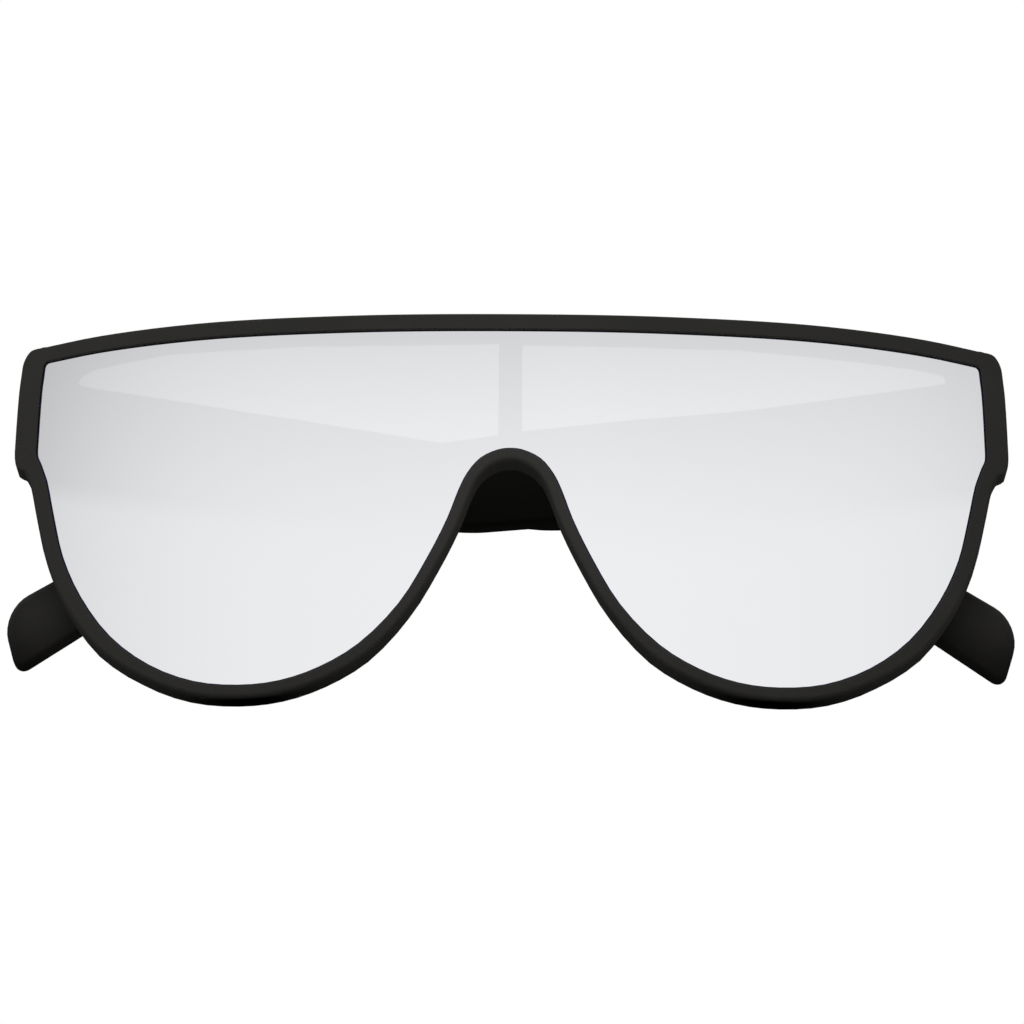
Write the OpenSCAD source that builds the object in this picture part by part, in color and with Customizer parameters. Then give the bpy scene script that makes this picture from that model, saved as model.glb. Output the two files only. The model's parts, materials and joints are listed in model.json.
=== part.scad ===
// Shield sunglasses: one curved mirror lens in a full rim, with two folding temples.
// The glasses stand upright, as worn, with the front facing -Y and the temples folded behind.
// X runs across the front, Z up; the origin is under the middle of the folded glasses.

/* [Front] */
// Width over the end pieces
front_w = 149.8; // [130:0.2:170]
// Height of the lens window
window_h = 55.1; // [46:0.1:64]
// Radius of the wrap, seen from above
wrap_r = 205; // [150:1:300]
// Depth of the rim, front to back
rim_d = 4.5; // [3.8:0.1:6]
// Rim along the top edge
rim_top = 2.5; // [1.8:0.1:4]
// Rim beside the end pieces
rim_side = 3.4; // [2.4:0.1:5]
// Rim down the outer side of each lobe
rim_lobe = 2.4; // [1.6:0.1:3.5]
// Rim under each lobe
rim_low = 2.0; // [1.4:0.1:3]
// Rim down the sides of the nose
rim_nose = 1.7; // [1.2:0.1:3]
// Rim over the nose arch
rim_arch = 1.9; // [1.4:0.1:3]
// Rim at the top corners, measured across the corner
rim_corner = 3.4; // [2.6:0.1:5]
// Rim at the notch under the end pieces
rim_notch = 2.6; // [1.8:0.1:4]

/* [Lens] */
// Thickness of the lens
lens_t = 2; // [1.2:0.1:2.6]
// How far the lens lies behind the face of the rim
lens_recess = 0.5; // [0.2:0.1:1]
// Width of the ledge that the lens seats on
ledge_w = 1.3; // [0.8:0.1:2]
// Play round the lens in its seat
lens_fit = 0.05; // [0.02:0.01:0.2]

/* [End pieces] */
// Depth of the end pieces behind the face of the rim
end_d = 7.5; // [6:0.1:10]
// Width of the block that carries the hinge
end_w = 15.4; // [14:0.1:20]
// How much wider the block is where it meets the rim
end_flare = 5; // [1:0.5:10]
// Height of the block that carries the hinge
end_h = 16.2; // [14:0.1:18]

/* [Temples] */
// Length from the hinge to the tip
temple_l = 145.4; // [125:0.2:155]
// Height at the hinge
butt_h = 18; // [14:0.1:20]
// Thickness at the hinge
butt_t = 4.1; // [3.6:0.1:6]
// Thickness of the blade
temple_t = 3; // [2.4:0.1:3.4]
// How far the tip curves inward
tip_hook = 3; // [0:0.5:8]
// Gap between the folded temples where they cross
cross_gap = 0.3; // [0.2:0.1:1]
// Gap between an open temple and its end piece
butt_gap = 0.15; // [0.05:0.05:0.4]
// Lean of the folded temples that the hinge play lets in, in degrees
hinge_lean = 0.7; // [0:0.1:1]

/* [Hinges] */
// Radius of the knuckles
knuckle_r = 1.5; // [1.3:0.1:2]
// Height of the hinge over its three knuckles
hinge_h = 9; // [7:0.5:12]
// Thickness of the leaves
leaf_t = 0.9; // [0.7:0.1:1.2]
// Length of the leaf on the front
front_leaf_l = 8; // [7:0.5:9]
// Length of the leaf on the temple
temple_leaf_l = 11; // [9:0.5:16]
// Radius of the hinge screw
pin_r = 0.7; // [0.5:0.05:0.9]
// Radius of the leaf screws
screw_r = 0.55; // [0.4:0.05:0.7]
// How deep the leaf screws go into the plastic
screw_grip = 2.2; // [1.5:0.1:2.6]
// Radial play of the screws in their bores
bore_fit = 0.05; // [0.02:0.01:0.1]
// End play of the knuckles
knuckle_fit = 0.05; // [0.03:0.01:0.1]

/* [Hidden] */

$fn = 96;
// How far a cut runs past the piece that it cuts
overrun = 1;
black = [0.13, 0.13, 0.125];
mirror_silver = [0.84, 0.86, 0.88];
steel = [0.62, 0.62, 0.6];

// The sides: the right temple hinges at -X and folds first, the left one hinges at +X
right = -1;
left = 1;

// How much wider the top of the rim is where it starts to turn the corner
shoulder = 1.1;

// Half of the lens window from the middle of the top to the middle of the nose arch:
// share of the half width, share of the height, and the rim outside that point
window_rows_shares = [
    [0, 0.991, rim_top], [0.34, 0.995, rim_top], [0.66, 1, rim_top], [0.87, 0.993, rim_top],
    [0.957, 0.984, rim_top], [0.982, 0.981, rim_top], [0.9859, 0.9797, shoulder * rim_top],
    [0.9891, 0.9768, rim_corner], [0.9913, 0.9727, rim_corner], [0.9923, 0.9678, rim_side],
    [0.994, 0.944, rim_side], [0.997, 0.9, rim_side], [1, 0.76, rim_side],
    [1, 0.716, rim_side], [0.9975, 0.702, rim_side], [0.991, 0.684, rim_notch],
    [0.983, 0.656, rim_lobe], [0.976, 0.63, rim_lobe], [0.958, 0.526, rim_lobe],
    [0.934, 0.405, rim_lobe], [0.892, 0.285, rim_lobe], [0.825, 0.163, rim_lobe],
    [0.74, 0.073, rim_low], [0.645, 0.018, rim_low], [0.551, 0, rim_low],
    [0.467, 0.007, rim_low], [0.386, 0.04, rim_low], [0.305, 0.102, rim_low],
    [0.224, 0.212, rim_nose], [0.168, 0.336, rim_nose], [0.127, 0.448, rim_nose],
    [0.104, 0.53, rim_nose], [0.087, 0.577, rim_nose], [0.06, 0.62, rim_arch],
    [0.024, 0.643, rim_arch], [0, 0.647, rim_arch]
];
// Samples of the curve between two rows
curve_steps = 3;

window_w = front_w - 2 * rim_side;
window_half = [for (row = window_rows_shares)
    [row[0] * window_w / 2, rim_low + row[1] * window_h, row[2]]];
last_row = len(window_half) - 1;
window_ring = concat(window_half, [for (i = [last_row - 1 : -1 : 1])
    [-window_half[i][0], window_half[i][1], window_half[i][2]]]);
ring_n = len(window_ring);
window_pts = [for (i = [0 : ring_n - 1], k = [0 : curve_steps - 1])
    curve_point(row_xy(i - 1), row_xy(i), row_xy(i + 1), row_xy(i + 2), k / curve_steps)];
window_rims = [for (i = [0 : ring_n - 1], k = [0 : curve_steps - 1])
    ring_row(i)[2] + (ring_row(i + 1)[2] - ring_row(i)[2]) * k / curve_steps];
pts_n = len(window_pts);

// Depths behind the middle of the front face
seat_d = lens_recess + lens_t + lens_fit;
front_top_z = rim_low + window_h + rim_top;
end_y = sag(front_w / 2) + end_d;

// The hinge axis, in the middle of the end piece's height
axis_inset = butt_t + knuckle_r + 2 * butt_gap;
axis_x = front_w / 2 - axis_inset;
axis_y = end_y + leaf_t / 2 + knuckle_r;
axis_z = front_top_z - rim_top - butt_h / 2;
hinge_gap = axis_inset - butt_t;
swing_share = 0.1;
swing_gap = swing_share * knuckle_r;

// The folded temples lie side by side where they cross
fold_tilt = asin((temple_t + cross_gap) / (2 * axis_x));
blade_in = hinge_gap;
blade_out = blade_in + temple_t;
butt_s = end_y + butt_gap - axis_y;

// Where the tip starts to curve inward, and how gently
hook_share = 0.81;
hook_s = hook_share * temple_l;
hook_r = 60;

// Depth of the folded glasses, from the face of the rim to where the outer temple hooks
hook_turn = atan(tip_hook / (temple_l - hook_s));
straight_l = hook_s - (hook_r + temple_t) * tan(hook_turn / 2);
folded_back = axis_y + blade_out * cos(fold_tilt) + straight_l * sin(fold_tilt);

// Side view of a temple: share of its length, share of the butt's height, and fillet radius
// as a share of the butt's height
temple_top_shares = [
    [0.722, -0.534, 9], [0.825, -0.65, 2.8], [1.005, -1.611, 0.36]
];
temple_low_shares = [
    [0.985, -2.158, 0.085], [0.803, -1.069, 2.2], [0.578, -0.65, 2.2], [0.426, -0.764, 1.5],
    [0.206, -0.5, 2.2]
];
// Fillets at the temple's ends, and the length over which the butt thins to the blade
butt_fillet = 0.6;
butt_taper_l = 14;

// Sag of the wrap at a distance from the middle
function sag(x) = wrap_r - sqrt(wrap_r * wrap_r - x * x);

function ring_row(i) = window_ring[(i + ring_n) % ring_n];
function row_xy(i) = [ring_row(i)[0], ring_row(i)[1]];

// A smooth curve from b to c, with a and d as their neighbours
function curve_point(a, b, c, d, u) =
    let (
        ab = sqrt(norm(b - a)), bc = sqrt(norm(c - b)), cd = sqrt(norm(d - c)),
        mb = (c - b) + bc * ((b - a) / ab - (c - a) / (ab + bc)),
        mc = (c - b) + bc * ((d - c) / cd - (d - b) / (bc + cd))
    )
    (2 * (b - c) + mb + mc) * pow(u, 3) + (3 * (c - b) - 2 * mb - mc) * pow(u, 2) + mb * u + b;

// The window's outline moved outward: by a share of the local rim and by a fixed amount
function moved_outline(rim_share, extra) = [for (j = [0 : pts_n - 1])
    let (
        run = window_pts[(j + 1) % pts_n] - window_pts[(j + pts_n - 1) % pts_n],
        out = [-run[1], run[0]] / norm(run)
    )
    window_pts[j] + out * (rim_share * window_rims[j] + extra)];

// The edge of the ledge, which runs straight across the tight corners, between these rows
turn_from_row = 4;
turn_to_row = 10;
function in_turn(j) = j > turn_from_row * curve_steps && j < turn_to_row * curve_steps;
function ledge_outline() =
    let (moved = moved_outline(0, -ledge_w))
    [for (j = [0 : pts_n - 1]) if (!in_turn(j) && !in_turn(pts_n - j)) moved[j]];

// An outline with a fillet at each corner; a corner is [x, y, radius]
fillet_steps = 6;
function filleted(corners) = [for (i = [0 : len(corners) - 1])
    let (
        n = len(corners),
        p = [corners[i][0], corners[i][1]],
        a = [corners[(i + n - 1) % n][0], corners[(i + n - 1) % n][1]],
        c = [corners[(i + 1) % n][0], corners[(i + 1) % n][1]],
        u = (a - p) / norm(a - p),
        v = (c - p) / norm(c - p),
        half = acos(u * v) / 2,
        mid = (u + v) / norm(u + v),
        r = corners[i][2],
        centre = p + mid * r / sin(half),
        from = p + u * r / tan(half) - centre,
        turn = 180 - 2 * half,
        side = sign(from[0] * (-mid)[1] - from[1] * (-mid)[0])
    )
    for (k = [0 : fillet_steps])
        let (t = side * turn * k / fillet_steps)
        centre + [from[0] * cos(t) - from[1] * sin(t), from[0] * sin(t) + from[1] * cos(t)]];

// Places the glasses so that the origin is under the middle of their depth
module placed() {
    translate([0, -folded_back / 2, 0]) children();
}

// An outline in X and Z, carried from one depth to another
module carried(outline, y_from, y_to) {
    translate([0, y_to, 0]) rotate([90, 0, 0]) linear_extrude(y_to - y_from) polygon(outline);
}

// All that lies behind the wrap surface at a depth
module behind(depth, past = overrun) {
    translate([0, wrap_r, -past])
        cylinder(r = wrap_r - depth, h = front_top_z + 2 * past, $fn = 240);
}

// The layer of the wrap between two depths
module wrap_layer(depth_from, depth_to) {
    difference() {
        behind(depth_from);
        behind(depth_to, 2 * overrun);
    }
}

// Puts a piece drawn at the left hinge on either side
module at_hinge(side) {
    mirror([side == right ? 1 : 0, 0, 0])
        translate([axis_x, axis_y, axis_z]) rotate([0, side * hinge_lean, 0]) children();
}

// Turns a piece drawn on the open temple, which points along +Y, to where it is folded
module folded(side) {
    at_hinge(side) rotate([0, 0, 90 - side * fold_tilt]) children();
}

// Places on the hinge; the two screws of a leaf lie one above the other
screw_height_share = 0.3;
screw_reach_share = 0.65;
screw_z = screw_height_share * hinge_h;
front_screw_x = -screw_reach_share * front_leaf_l;
temple_screw_s = screw_reach_share * temple_leaf_l;
middle_h = hinge_h / 3;
front_plate_y = end_y - axis_y;
front_leaf_over = leaf_t / 2;
temple_leaf_s = knuckle_r + swing_gap;

// Heads of the screws, as shares of their radius
head_r_share = 1.85;
head_h_share = 0.9;

module front_screw_places() {
    for (z = [-screw_z, screw_z]) translate([front_screw_x, front_plate_y, z]) children();
}

module temple_screw_places() {
    for (z = [-screw_z, screw_z])
        translate([hinge_gap, temple_screw_s, z]) rotate([0, 0, -90]) children();
}

// A leaf screw along +Y: its head, then its shank into the plastic
module leaf_screw(sink) {
    rotate([90, 0, 0]) {
        translate([0, 0, -sink]) cylinder(r = screw_r, h = sink + leaf_t, $fn = 24);
        translate([0, 0, leaf_t])
            cylinder(r = head_r_share * screw_r, h = head_h_share * screw_r, $fn = 32);
    }
}

module screw_hole(sink) {
    rotate([90, 0, 0]) translate([0, 0, -sink])
        cylinder(r = screw_r + bore_fit, h = sink + leaf_t + overrun, $fn = 24);
}

module rim() {
    difference() {
        intersection() {
            carried(moved_outline(1, 0), -overrun, end_y + rim_d);
            wrap_layer(0, rim_d);
        }
        carried(ledge_outline(), -overrun, end_y + 2 * rim_d);
    }
}

// The blocks behind the lens's corners that the hinges are screwed to; each has a straight side
// that runs down behind the notch of the rim
module end_blocks() {
    block_low = axis_z + butt_h / 2 - end_h;
    block_in = front_w / 2 - end_w;
    intersection() {
        carried(moved_outline(1, 0), -overrun, end_y);
        behind(0);
        for (side = [right, left]) mirror([side == right ? 1 : 0, 0, 0])
            translate([0, 0, block_low]) linear_extrude(end_h) polygon([
                [block_in, end_y], [block_in - end_flare, 0], [front_w, 0], [front_w, end_y]
            ]);
    }
    intersection() {
        behind(rim_d);
        for (side = [right, left]) mirror([side == right ? 1 : 0, 0, 0])
            translate([front_w / 2 - end_w / 2, 0, block_low])
                cube([end_w / 2 - butt_gap, end_y, end_h / 4]);
    }
}

module front_frame() {
    color(black) placed() difference() {
        union() {
            rim();
            end_blocks();
        }
        difference() {
            carried(moved_outline(0, 0), -2 * overrun, end_y + 2 * rim_d);
            behind(seat_d, 2 * overrun);
        }
        for (side = [right, left])
            at_hinge(side) front_screw_places() mirror([0, 1, 0]) screw_hole(screw_grip);
    }
}

module shield_lens() {
    color(mirror_silver) placed() intersection() {
        carried(moved_outline(0, -lens_fit), -overrun, end_y + rim_d);
        wrap_layer(lens_recess, lens_recess + lens_t);
    }
}

module temple_side_view() {
    corners = concat(
        [[butt_s, butt_h / 2, butt_fillet]],
        [for (row = temple_top_shares) [row[0] * temple_l, row[1] * butt_h, row[2] * butt_h]],
        [for (row = temple_low_shares) [row[0] * temple_l, row[1] * butt_h, row[2] * butt_h]],
        [[butt_s, -butt_h / 2, butt_fillet]]
    );
    translate([-overrun, 0, 0])
        rotate([90, 0, 90]) translate([0, 0, -tip_hook - overrun])
            linear_extrude(axis_inset + tip_hook + 3 * overrun) polygon(filleted(corners));
}

module temple_plan_view() {
    corners = [
        [blade_in, butt_s, butt_fillet], [axis_inset, butt_s, butt_fillet],
        [blade_out, butt_taper_l, hook_r / 2], [blade_out, hook_s, hook_r + temple_t],
        [blade_out - tip_hook, temple_l, butt_fillet], [blade_in - tip_hook, temple_l, butt_fillet],
        [blade_in, hook_s, hook_r]
    ];
    translate([0, 0, -3 * butt_h]) linear_extrude(4 * butt_h) polygon(filleted(corners));
}

module temple(side) {
    color(black) placed() folded(side) difference() {
        intersection() {
            temple_side_view();
            temple_plan_view();
        }
        temple_screw_places() screw_hole(screw_grip);
    }
}

module front_leaf(side) {
    color(steel) placed() at_hinge(side) difference() {
        union() {
            translate([-front_leaf_l, front_plate_y, -hinge_h / 2])
                cube([front_leaf_l + front_leaf_over, leaf_t, hinge_h]);
            cylinder(r = knuckle_r, h = hinge_h, center = true);
        }
        cylinder(r = knuckle_r + swing_gap, h = middle_h, center = true);
        cylinder(r = pin_r + bore_fit, h = hinge_h + overrun, center = true);
        front_screw_places() mirror([0, 1, 0]) screw_hole(overrun);
    }
}

module temple_leaf(side) {
    knuckle_h = middle_h - 2 * knuckle_fit;
    color(steel) placed() folded(side) difference() {
        union() {
            translate([hinge_gap - leaf_t, temple_leaf_s, -hinge_h / 2])
                cube([leaf_t, temple_leaf_l, hinge_h]);
            translate([0, 0, -knuckle_h / 2])
                cube([hinge_gap, temple_leaf_s + leaf_t, knuckle_h]);
            cylinder(r = knuckle_r, h = knuckle_h, center = true);
        }
        cylinder(r = pin_r + bore_fit, h = hinge_h + overrun, center = true);
        temple_screw_places() screw_hole(overrun);
    }
}

module hinge_screw(side) {
    color(steel) placed() at_hinge(side) {
        cylinder(r = pin_r, h = hinge_h, center = true, $fn = 32);
        translate([0, 0, hinge_h / 2])
            cylinder(r = head_r_share * pin_r, h = head_h_share * pin_r, $fn = 40);
    }
}

module front_leaf_screws(side) {
    color(steel) placed() at_hinge(side)
        front_screw_places() mirror([0, 1, 0]) leaf_screw(screw_grip);
}

module temple_leaf_screws(side) {
    color(steel) placed() folded(side) temple_screw_places() leaf_screw(screw_grip);
}

front_frame();
shield_lens();
temple(right);  // right_temple
temple(left);  // left_temple
front_leaf(right);  // right_front_leaf
front_leaf(left);  // left_front_leaf
temple_leaf(right);  // right_temple_leaf
temple_leaf(left);  // left_temple_leaf
hinge_screw(right);  // right_hinge_screw
hinge_screw(left);  // left_hinge_screw
front_leaf_screws(right);  // right_front_leaf_screws
front_leaf_screws(left);  // left_front_leaf_screws
temple_leaf_screws(right);  // right_temple_leaf_screws
temple_leaf_screws(left);  // left_temple_leaf_screws
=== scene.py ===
# %% [markdown]
# # Flat-top shield sunglasses
#
# The real glasses are made of one curved lens with a silver mirror coat, a full rim in soft-touch
# black plastic, and two temples that fold on screwed metal hinges. The CAD model already holds every
# size and every joint. This lesson gives its pieces the rounded edges and the finishes of the real
# ones, and sets up the studio they were photographed in.
#
# The CAD model comes in first. Everything after it stands in the model's own frame. It is placed from
# the model's boxes and joints where they say enough, and otherwise from named sizes that repeat the
# model's.

# %% Load the CAD model
import json
import math

import bmesh
import bpy
from mathutils import Matrix, Vector
from mathutils.geometry import interpolate_bezier


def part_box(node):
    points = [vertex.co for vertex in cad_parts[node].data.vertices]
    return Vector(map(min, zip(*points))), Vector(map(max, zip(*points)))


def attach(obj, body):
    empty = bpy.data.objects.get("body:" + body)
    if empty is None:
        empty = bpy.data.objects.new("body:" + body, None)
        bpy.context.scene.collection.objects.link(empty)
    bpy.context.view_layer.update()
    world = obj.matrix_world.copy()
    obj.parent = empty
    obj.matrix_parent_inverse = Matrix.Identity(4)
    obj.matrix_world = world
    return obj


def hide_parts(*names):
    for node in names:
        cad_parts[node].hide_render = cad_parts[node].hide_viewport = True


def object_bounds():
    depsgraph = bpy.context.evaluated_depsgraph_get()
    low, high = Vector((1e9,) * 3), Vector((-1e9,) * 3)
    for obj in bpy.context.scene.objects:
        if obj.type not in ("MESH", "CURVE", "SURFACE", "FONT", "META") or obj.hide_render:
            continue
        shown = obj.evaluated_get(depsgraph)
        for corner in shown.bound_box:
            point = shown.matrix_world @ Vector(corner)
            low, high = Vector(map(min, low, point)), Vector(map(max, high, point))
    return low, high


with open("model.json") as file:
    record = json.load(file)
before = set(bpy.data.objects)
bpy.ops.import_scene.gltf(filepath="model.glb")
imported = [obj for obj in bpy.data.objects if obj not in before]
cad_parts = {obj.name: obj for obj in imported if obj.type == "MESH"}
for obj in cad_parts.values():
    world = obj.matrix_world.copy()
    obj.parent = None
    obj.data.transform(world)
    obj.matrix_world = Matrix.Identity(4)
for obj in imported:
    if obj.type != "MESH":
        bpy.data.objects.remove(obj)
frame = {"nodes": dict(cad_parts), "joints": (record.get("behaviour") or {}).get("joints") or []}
cad_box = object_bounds()
MM = 0.001
print("CAD box in mm:", [[round(c / MM, 2) for c in corner] for corner in cad_box])

# %% [markdown]
# ## The camera
#
# The picture looks up at the front by 20 degrees through a long lens. A short lens close by would
# bulge the wrap, and a very long one would flatten it, so the distance and the focal length are a
# pair. The small yaw and roll are those of the photographer's tripod.

# %% Camera
scene = bpy.context.scene
scene.view_settings.view_transform = "Standard"

camera_distance = 650 * MM
camera_pitch = math.radians(20)
camera_yaw = math.radians(0.45)
camera_roll = math.radians(0.44)
camera_aim = Vector((0.30, -15.58, 27.59)) * MM
sensor_width_mm = 36
focal_length_mm = 155.9
nearest_seen = 10 * MM
quarter_turn = math.radians(90)

turn = (
    Matrix.Rotation(camera_yaw, 4, "Z")
    @ Matrix.Rotation(quarter_turn + camera_pitch, 4, "X")
    @ Matrix.Rotation(camera_roll, 4, "Z")
)
camera_data = bpy.data.cameras.new("photo_camera")
camera_data.sensor_width = sensor_width_mm
camera_data.lens = focal_length_mm
camera_data.clip_start = nearest_seen
camera = bpy.data.objects.new("photo_camera", camera_data)
camera.matrix_world = (
    Matrix.Translation(camera_aim) @ turn @ Matrix.Translation((0, 0, camera_distance))
)
scene.collection.objects.link(camera)
scene.camera = camera
print("camera at", [round(c / MM) for c in camera.matrix_world.translation], "mm")

# %% [markdown]
# ## Small helpers
#
# Materials in Blender are trees of nodes. Adding a node, setting its sockets and linking it are the
# same three steps each time, so one helper does them. A second helper turns a finished bmesh into an
# object at the origin, with its materials. The other three are for bmesh operators, which hand back
# vertices, edges and faces in one mixed list, and sometimes want the whole mesh as such a list.

# %% Helpers for nodes and pieces
def add_node(tree, kind, inputs=None, **settings):
    """A node with its settings, and each input either linked or set to a value."""
    node = tree.nodes.new(kind)
    for name, value in settings.items():
        setattr(node, name, value)
    for socket, value in (inputs or {}).items():
        if isinstance(value, bpy.types.NodeSocket):
            tree.links.new(value, node.inputs[socket])
        else:
            node.inputs[socket].default_value = value
    return node


def new_object(name, bm, materials):
    """The bmesh as an object at the origin, smooth, with its materials in order."""
    mesh = bpy.data.meshes.new(name)
    for face in bm.faces:
        face.smooth = True
    bm.to_mesh(mesh)
    bm.free()
    for material in materials:
        mesh.materials.append(material)
    piece = bpy.data.objects.new(name, mesh)
    scene.collection.objects.link(piece)
    return piece


def verts_of(geom):
    """The vertices among the parts that an operator made."""
    return [part for part in geom if isinstance(part, bmesh.types.BMVert)]


def faces_of(geom):
    """The faces among the parts that an operator made."""
    return [part for part in geom if isinstance(part, bmesh.types.BMFace)]


def all_of(bm):
    """Every vertex, edge and face of a mesh."""
    return list(bm.verts) + list(bm.edges) + list(bm.faces)


# %% [markdown]
# ## The studio
#
# The photograph has a white ground and very soft light. More lamps would wash the black out, so the
# white comes from the world alone: camera, glossy and transmission rays see plain white, and all
# other rays get a grey level of light. The floor is pale as well, but it throws back little light,
# because the undersides in the photograph are nearly black. The camera looks from below the floor, so
# its underside is made clear to camera rays, while its top still takes the light and the shadows.

# %% World and floor
studio_level = 0.72
white = (1, 1, 1, 1)

world = bpy.data.worlds.new("studio")
scene.world = world
world.use_nodes = True
tree = world.node_tree
tree.nodes.clear()
ray = add_node(tree, "ShaderNodeLightPath")
seen = add_node(tree, "ShaderNodeMath", {0: ray.outputs["Is Camera Ray"],
                1: ray.outputs["Is Glossy Ray"]}, operation="MAXIMUM")
seen = add_node(tree, "ShaderNodeMath", {0: seen.outputs[0],
                1: ray.outputs["Is Transmission Ray"]}, operation="MAXIMUM")
soft_light = add_node(tree, "ShaderNodeBackground", {"Color": white, "Strength": studio_level})
ground_white = add_node(tree, "ShaderNodeBackground", {"Color": white, "Strength": 1.0})
mix = add_node(tree, "ShaderNodeMixShader",
               {0: seen.outputs[0], 1: soft_light.outputs[0], 2: ground_white.outputs[0]})
add_node(tree, "ShaderNodeOutputWorld", {"Surface": mix.outputs[0]})

floor_tone = (0.86, 0.86, 0.85, 1)
bounced_tone = (0.30, 0.30, 0.29, 1)
floor_roughness, floor_shine = 0.85, 0.1

floor_material = bpy.data.materials.new("pale_floor")
floor_material.use_nodes = True
tree = floor_material.node_tree
tree.nodes.clear()
ray = add_node(tree, "ShaderNodeLightPath")
tone = add_node(tree, "ShaderNodeMix", {0: ray.outputs["Is Diffuse Ray"], 6: floor_tone,
                7: bounced_tone}, data_type="RGBA")
pale = add_node(tree, "ShaderNodeBsdfPrincipled", {"Base Color": tone.outputs[2],
                "Roughness": floor_roughness, "Specular IOR Level": floor_shine})
clear = add_node(tree, "ShaderNodeBsdfTransparent")
side = add_node(tree, "ShaderNodeNewGeometry")
from_below = add_node(tree, "ShaderNodeMath", {0: ray.outputs["Is Camera Ray"],
                      1: side.outputs["Backfacing"]}, operation="MULTIPLY")
mix = add_node(tree, "ShaderNodeMixShader",
               {0: from_below.outputs[0], 1: pale.outputs[0], 2: clear.outputs[0]})
add_node(tree, "ShaderNodeOutputMaterial", {"Surface": mix.outputs[0]})

floor_radius = 2.5
floor_sides = 96
floor_gap = 0.05 * MM
floor_height = cad_box[0][2] - floor_gap
bm = bmesh.new()
bmesh.ops.create_circle(bm, cap_ends=True, radius=floor_radius, segments=floor_sides)
bmesh.ops.translate(bm, verts=bm.verts, vec=(0, 0, floor_height))
floor = new_object("studio_floor", bm, [floor_material])
print("floor at", round(floor_height / MM, 3), "mm")

# %% [markdown]
# ## The lamps
#
# A wide lamp above and in front gives the satin edges their soft shine, and a second one behind the
# glasses lights the tips. Both are large and near, as soft boxes are, so no shadow has a hard edge.

# %% Lamps
glasses_middle = (0, 0, 30 * MM)
lamps = {
    "key_lamp": {"place": (-0.35, -0.55, 0.85), "size": 0.7, "power": 4.2},
    "back_lamp": {"place": (0.45, 0.6, 0.6), "size": 0.6, "power": 2.2},
}


def soft_box(name, aim, place, size, power):
    """A square area lamp at a place, turned to face a point."""
    data = bpy.data.lights.new(name, "AREA")
    data.shape = "SQUARE"
    data.size = size
    data.energy = power
    lamp = bpy.data.objects.new(name, data)
    facing = (Vector(aim) - Vector(place)).to_track_quat("-Z", "Y")
    lamp.matrix_world = Matrix.Translation(place) @ facing.to_matrix().to_4x4()
    scene.collection.objects.link(lamp)
    print(name, "at", place, "m with", power, "W")


for name, lamp in lamps.items():
    soft_box(name, glasses_middle, **lamp)

# %% [markdown]
# ## What the mirror sees
#
# A mirror shows its studio. In the photograph the lens shows a pale wall that darkens upwards and to
# the sides, with two long soft boxes side by side that taper to a point. Grey shapes painted on the
# lens would be simpler, but they would stay where they are when the glasses turn. So a wall and two
# boxes really stand there, and a few sums on the place of each point give their glow: one fade runs
# upwards, and one to each side, which is weaker low down.

# %% The glow of the wall and the boxes
cool_white = (0.992, 0.994, 1.0, 1)
brightest_x = 80 * MM
side_reach = 510 * MM
even_fade = 0.06
left_edge_fade, right_edge_fade = 0.25, 0.10
edge_steepness = 6.0
fade_foot, fade_head = 236 * MM, 316 * MM
upward_fade, upward_steepness = 0.225, 1.7
side_fade_foot, side_fade_head = 249.5 * MM, 256.5 * MM
low_side_share = 0.68


def glow_material(name, brightness):
    """Light that is strongest low and near the middle, and fades upwards and to both sides."""
    material = bpy.data.materials.new(name)
    material.use_nodes = True
    tree = material.node_tree
    tree.nodes.clear()
    place = add_node(tree, "ShaderNodeTexCoord")
    axes = add_node(tree, "ShaderNodeSeparateXYZ", {0: place.outputs["Object"]})

    def maths(operation, first, second):
        """The socket of one sum."""
        node = add_node(tree, "ShaderNodeMath", {0: first, 1: second}, operation=operation)
        return node.outputs[0]

    def reach(axis, start, end, low=0.0, high=1.0):
        """From low at start to high at end, two places in metres along an axis."""
        return add_node(tree, "ShaderNodeMapRange", {
            "Value": axes.outputs[axis], "From Min": start, "From Max": end,
            "To Min": low, "To Max": high}).outputs[0]

    def side_shade(end, edge_fade):
        """A slight even fade to one side, and a steep one at its edge."""
        share = reach("X", brightest_x, end)
        even = maths("MULTIPLY", share, even_fade)
        steep = maths("MULTIPLY", maths("POWER", share, edge_steepness), edge_fade)
        return maths("ADD", even, steep)

    climb = maths("POWER", reach("Z", fade_foot, fade_head), upward_steepness)
    upward = maths("MULTIPLY", climb, upward_fade)
    left, right = side_shade(-side_reach, left_edge_fade), side_shade(side_reach, right_edge_fade)
    side_share = reach("Z", side_fade_foot, side_fade_head, low_side_share, 1.0)
    sides = maths("MULTIPLY", maths("ADD", left, right), side_share)
    glow = maths("MULTIPLY", maths("SUBTRACT", 1.0, upward), maths("SUBTRACT", 1.0, sides))
    light = add_node(tree, "ShaderNodeEmission", {
        "Color": cool_white, "Strength": maths("MULTIPLY", glow, brightness)})
    add_node(tree, "ShaderNodeOutputMaterial", {"Surface": light.outputs[0]})
    return material


print("the glow fades upwards over", round((fade_head - fade_foot) / MM), "mm")

# %% [markdown]
# The wall is one upright edge spun round the glasses. It is there for reflections alone, so nothing
# else sees it or is lit by it.

# %% The mirrored wall
wall_radius = 650 * MM
wall_low, wall_high = 90 * MM, 520 * MM
wall_half_turn = math.radians(72)
wall_steps = 48
wall_brightness = 0.955


def only_for_reflections(piece):
    """The piece shows in reflections and nowhere else, and casts no shadow."""
    piece.visible_camera = False
    piece.visible_diffuse = False
    piece.visible_transmission = False
    piece.visible_volume_scatter = False
    piece.visible_shadow = False


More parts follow.
